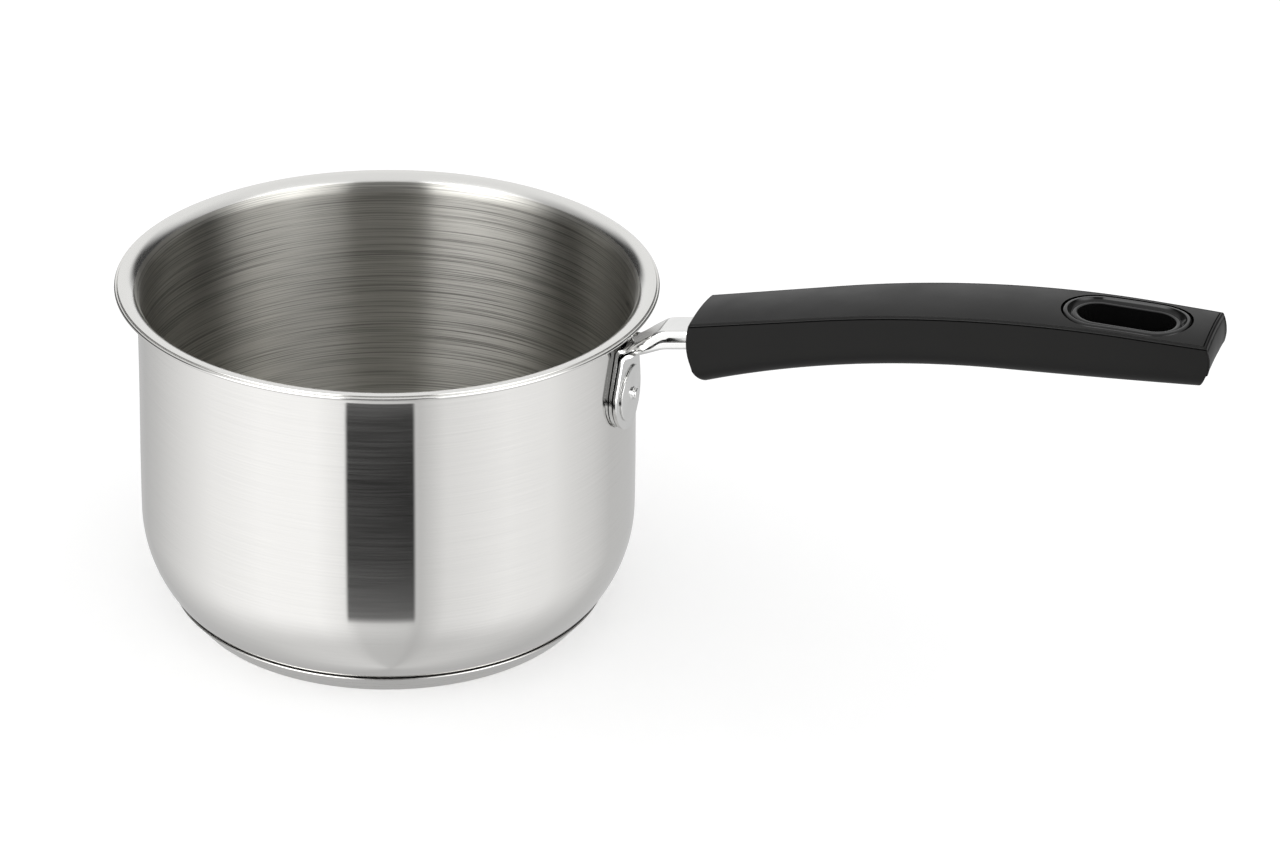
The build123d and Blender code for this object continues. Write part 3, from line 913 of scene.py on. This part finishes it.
def end_line(top, middle, foot):
    """The x of a grip's end by height share, seen from the side: an arc through three (x, share) points."""
    depth = grip_depth
    rows = [(2 * x, 2 * share * depth, 1.0) for x, share in (top, middle, foot)]
    sums = [x * x + (share * depth) ** 2 for x, share in (top, middle, foot)]
    centre_x, centre_z, rest = np.linalg.solve(np.array(rows), np.array(sums))
    radius = math.sqrt(rest + centre_x**2 + centre_z**2)
    side = math.copysign(1.0, middle[0] - centre_x)
    return lambda share: centre_x + side * math.sqrt(max(0.0, radius**2 - (share * depth - centre_z) ** 2))


pan_end = end_line(*pan_end_shares)
far_end = end_line(*far_end_shares)


def grip_loop():
    """The grip's section, all round from the middle of its top, with the places of two of its corners.

    Each point is (share of half width, offset), (share of depth, offset), kind of place."""
    half = [((share, 0.0), (1.0, 0.0), "top") for share in top_shares]
    fine = [bead_width + groove_half * (1 - k / 4) for k in range(9)]
    steps = [*top_steps, *fine, last_top_step]
    half += [((1.0, -step), (1.0, 0.0), "top") for step in steps]
    corner = len(half) + edge_steps // 2
    for k in range(edge_steps + 1):
        angle = quarter * k / edge_steps
        across = grip_edge * (math.sin(angle) - 1)
        half.append(((1.0, across), (1.0, grip_edge * (math.cos(angle) - 1)), "edge"))
    for k in range(9):
        drop = bead_side + groove_half * (k / 4 - 1)
        half.append(((1.0, -groove(drop, bead_side)), (1.0, -drop), "side"))
    half += [((1.0, 0.0), (share, 0.0), "side") for share in side_shares]
    foot = len(half) + lower_steps // 2
    for k in range(lower_steps + 1):
        angle = quarter * k / lower_steps
        across = grip_lower_round * (math.cos(angle) - 1)
        half.append(((1.0, across), (0.0, grip_lower_round * (1 - math.sin(angle))), "lower"))
    under = corner - lower_steps // 2
    half += [((0.6 * (1 - k / under), 0.0), (0.0, 0.0), "under") for k in range(1, under + 1)]
    return half + [((-a, -b), up, kind) for (a, b), up, kind in half[-2:0:-1]], corner, foot


def grip_point(place, across, up, kind):
    """A point of the grip's skin. place runs from 0 at the pan end to 1 at the far end."""
    share = up[0] + up[1] / grip_depth
    start = grip_start + pan_end(share) + end_round
    end = grip_end + far_end(share) - end_round
    x = start + (end - start) * place
    half = grip_width(x)
    top = grip_top(x)
    under = grip_under(x)
    y = half * across[0] + across[1]
    z = under + (top - under) * up[0] + up[1]
    if kind != "top":
        y -= math.copysign(grip_draft * (1 - share), y) if kind in ("side", "lower") else 0.0
        return x, y, z
    z += grip_crown * (1 - (y / half) ** 2)
    to_end = grip_end + far_end(1.0) - x
    return x, y, z - groove(min(half - abs(y), to_end), bead_width)


def spread(points):
    """Each point's share of the way along a line of points."""
    steps = np.linalg.norm(np.diff(points, axis=0), axis=1)
    return np.concatenate(([0.0], np.cumsum(steps))) / steps.sum()


def close_end(points, faces, ring, corner, foot):
    """A grid of faces over an open end, blended from its four sides."""
    count = len(ring)
    top = [ring[k] for k in range(-corner, corner + 1)]
    under = [ring[k] for k in range(count - foot, foot - 1, -1)]
    right = ring[corner:foot + 1]
    left = [ring[-k] for k in range(corner, foot + 1)]
    above, below, east, west = (np.array([points[k] for k in side]) for side in (top, under, right, left))
    u = spread(above)[None, :, None]
    v = spread(east)[:, None, None]
    grid = (1 - v) * above[None] + v * below[None] + (1 - u) * west[:, None] + u * east[:, None]
    grid -= (1 - v) * ((1 - u) * above[0] + u * above[-1]) + v * ((1 - u) * below[0] + u * below[-1])
    table = [top]
    for row in range(1, len(right) - 1):
        first = len(points)
        points.extend(tuple(point) for point in grid[row, 1:-1])
        table.append([left[row], *range(first, len(points)), right[row]])
    table.append(under)
    for upper, lower in zip(table, table[1:]):
        faces.extend(zip(upper, upper[1:], lower[1:], lower))


def grip_skin():
    """The grip's outer skin as one closed mesh, with no pocket, bore or hole yet."""
    loop, corner, foot = grip_loop()
    fine = [(bead_width - end_round + groove_half * (k / 4 - 1)) / grip_length for k in range(9)]
    places = sorted([k / grip_rows for k in range(grip_rows)] + [1 - share for share in fine] + [1.0])
    rings = [[grip_point(place, across, up, kind) for across, up, kind in loop] for place in places]
    for ring, side in ((rings[0], -1), (rings[-1], 1)):
        middle = (max(point[2] for point in ring) + min(point[2] for point in ring)) / 2
        tall = max(point[2] for point in ring) - middle
        wide = max(point[1] for point in ring)
        for k in range(1, end_steps + 1):
            angle = quarter * k / end_steps
            inset = end_round * (1 - math.cos(angle))
            step = side * end_round * math.sin(angle)
            narrow, low = 1 - inset / wide, 1 - inset / tall
            soft = [(x + step, y * narrow, middle + (z - middle) * low) for x, y, z in ring]
            rings = rings + [soft] if side > 0 else [soft] + rings
    points = [point for ring in rings for point in ring]
    count = len(loop)
    last = len(points)
    faces = grid_faces(len(rings), count)
    close_end(points, faces, list(range(count)), corner, foot)
    close_end(points, faces, list(range(last - count, last)), corner, foot)
    mesh = bpy.data.meshes.new("grip_skin")
    mesh.from_pydata(points, [], faces)
    return mesh


def oval_ring(growth):
    """The hanging hole's oval, grown on all sides: two half circles and two straights."""
    radius = hole_width / 2 + growth
    reach = (hole_length - hole_width) / 2
    ring = []
    for side in (1, -1):
        for k in range(33):
            angle = math.pi * (k / 32 - side / 2)
            ring.append((hole_centre + side * reach + radius * math.cos(angle), radius * math.sin(angle)))
        ring += [(hole_centre + side * reach * (1 - k / 4), side * radius) for k in range(1, 8)]
    return ring


def oval_mesh(name, levels, round_ends):
    """Rings of the oval, each with a growth and a height by place, joined into a closed skin.

    With round_ends the last ring joins the first, and otherwise flat ends close the skin."""
    rings = []
    for growth, height in levels:
        rings.append([(x, y, height(x, y)) for x, y in oval_ring(growth)])
    points = [point for ring in rings for point in ring]
    count = len(rings[0])
    faces = grid_faces(len(rings), count, round_ends=round_ends)
    if not round_ends:
        faces += [tuple(range(count))[::-1], tuple(range(len(points) - count, len(points)))]
    mesh = bpy.data.meshes.new(name)
    mesh.from_pydata(points, [], faces)
    return mesh


def cut_out(mesh, cutters):
    """A mesh with the shapes of others cut out of it."""
    holder = bpy.data.objects.new("uncut", mesh)
    bpy.context.scene.collection.objects.link(holder)
    tools = []
    for cutter in cutters:
        shape = bmesh.new()
        shape.from_mesh(cutter)
        bmesh.ops.recalc_face_normals(shape, faces=shape.faces)
        shape.to_mesh(cutter)
        shape.free()
        tool = bpy.data.objects.new("cutter", cutter)
        bpy.context.scene.collection.objects.link(tool)
        modifier = holder.modifiers.new("cut", "BOOLEAN")
        modifier.operation = "DIFFERENCE"
        modifier.solver = "EXACT"
        modifier.object = tool
        tools.append(tool)
    result = applied(holder)
    for tool in tools:
        bpy.data.objects.remove(tool)
    return result


def arm_pocket():
    """The square pocket that the bracket's arm slides into, a little larger than the arm."""
    width, depth = arm_half * 2 + 2 * pocket_gap, arm_depth + 2 * pocket_gap
    along, across = Vector((arm_along[0], 0, arm_along[1])), Vector((0, 1, 0))
    down = Vector((arm_along[1], 0, -arm_along[0]))
    start = Vector((arm_top[0], 0, arm_top[1])) - down * pocket_gap
    corners = []
    for reach in (0.0, pocket_length):
        for side, drop in ((-1, 0), (1, 0), (1, 1), (-1, 1)):
            corners.append(start + along * reach + across * (side * width / 2) + down * (drop * depth))
    mesh = bpy.data.meshes.new("pocket")
    sides = [(k, (k + 1) % 4, (k + 1) % 4 + 4, k + 4) for k in range(4)]
    mesh.from_pydata(corners, [], sides + [(0, 1, 2, 3), (7, 6, 5, 4)])
    return mesh


def phenolic():
    """Black moulded phenolic: a fine grain and a cloudy, low sheen."""
    numbers = {"IOR": 1.31, "Specular Tint": (1.0, 0.99, 0.97, 1)}
    material, tree, surface = new_material("black_phenolic", numbers)
    place = object_place(tree)[0]
    grain = noise_node(tree, place, 3200.0, 2.0)
    cloud = noise_node(tree, place, 60.0, 3.0)
    colour = tint(tree, cloud, phenolic_dark, phenolic_light)
    rough = ramp_node(tree, cloud, 0.3, 0.7, 0.38, 0.46, "LINEAR")
    bump = add_node(tree, "ShaderNodeBump", {"Strength": 0.25, "Distance": 0.00004, "Height": grain})
    feed(surface, Base_Color=colour, Roughness=rough, Normal=bump.outputs[0])
    return material


def grip():
    gap = insert_gap
    ledge = grip_level + grip_crown - insert_thick
    oval = [
        (insert_wall + gap, lambda x, y: grip_low.z - overrun),
        (insert_wall + gap, lambda x, y: ledge),
        (insert_reach + gap, lambda x, y: ledge),
        (insert_reach + gap, lambda x, y: grip_surface(x, y) - chamfer_drop),
        (insert_reach + gap + hole_chamfer, lambda x, y: grip_surface(x, y) + chamfer_rise),
        (insert_reach + gap + hole_chamfer, lambda x, y: grip_high.z + overrun),
    ]
    mesh = cut_out(grip_skin(), [arm_pocket(), oval_mesh("oval", oval, False)])
    piece = finished("grip", mesh)
    piece.data.materials.clear()
    piece.data.materials.append(phenolic())
    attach(piece, "root")
    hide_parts("handle_grip")
    plain_steel = plain_metal("plain_steel", (0.6, 0.6, 0.59), 0.35, 1500.0)
    for name in ("tang_end_block", "handle_screw", "screw_washer"):
        dress(name, plain_steel)


grip()


# The hanging hole is lined by an oval insert of glossy black plastic, pushed in from above.
# Its outer lip is flush with the grip, its face is dished, and a small bead runs round the hole.
insert_lip = 0.0009
lip_width = 0.0015
dish_drop = 0.0019
bead_reach = 0.0016
crown_drop = 0.0015
crown_reach = 0.0007
crown_radius = 0.0016
crown_foot = 0.0004
lip_drop = 0.00002
dish_edge = 0.0001
foot_gap_under = 0.0001
gloss_dark = (0.005, 0.005, 0.005)
gloss_light = (0.008, 0.008, 0.008)


def gloss_plastic():
    """Glossy black plastic with a faintly uneven shine."""
    material, tree, surface = new_material("gloss_black", {"IOR": 1.42})
    cloud = noise_node(tree, object_place(tree)[0], 150.0, 2.0)
    rough = ramp_node(tree, cloud, 0.3, 0.7, 0.10, 0.16, "LINEAR")
    feed(surface, Base_Color=tint(tree, cloud, gloss_dark, gloss_light), Roughness=rough)
    return material


def insert():
    level = grip_level + grip_crown
    ledge = level - insert_thick

    def under(x, y):
        return grip_under(x) + foot_gap_under

    def lower(follow, drop):
        return lambda x, y: follow * grip_surface(x, y) + (1 - follow) * level - drop

    levels = [(insert_wall, under), (insert_wall, lambda x, y: ledge), (insert_reach, lambda x, y: ledge)]
    for k in range(6):
        angle = quarter * k / 5
        growth = insert_reach - insert_lip * (1 - math.cos(angle))
        levels.append((growth, lower(1.0, insert_lip * (1 - math.sin(angle)) + lip_drop)))
    edge = insert_reach - lip_width
    levels += [(edge + dish_edge, lower(1.0, lip_drop)), (edge, lower(1.0, 3 * lip_drop))]
    for k in range(1, 13):
        turn = quarter * k / 12
        growth = bead_reach + (edge - bead_reach) * (1 - math.sin(turn))
        drop = dish_edge + (dish_drop - dish_edge) * math.sin(turn) ** 0.8
        levels.append((growth, lower(math.cos(turn), drop)))
    for k in range(9):
        growth = bead_reach * (1 - k / 8) ** 1.2
        rise = dish_drop - crown_drop - (growth - crown_reach) ** 2 / (2 * crown_radius)
        levels.append((growth, lower(0.0, dish_drop - max(0.0, rise))))
    levels.append((0.0, lower(0.0, dish_drop + crown_foot)))
    levels.append((0.0, under))
    piece = finished("hole_insert", oval_mesh("insert", levels, True))
    piece.data.materials.append(gloss_plastic())
    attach(piece, "root")
    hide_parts("hanging_hole_insert")


insert()
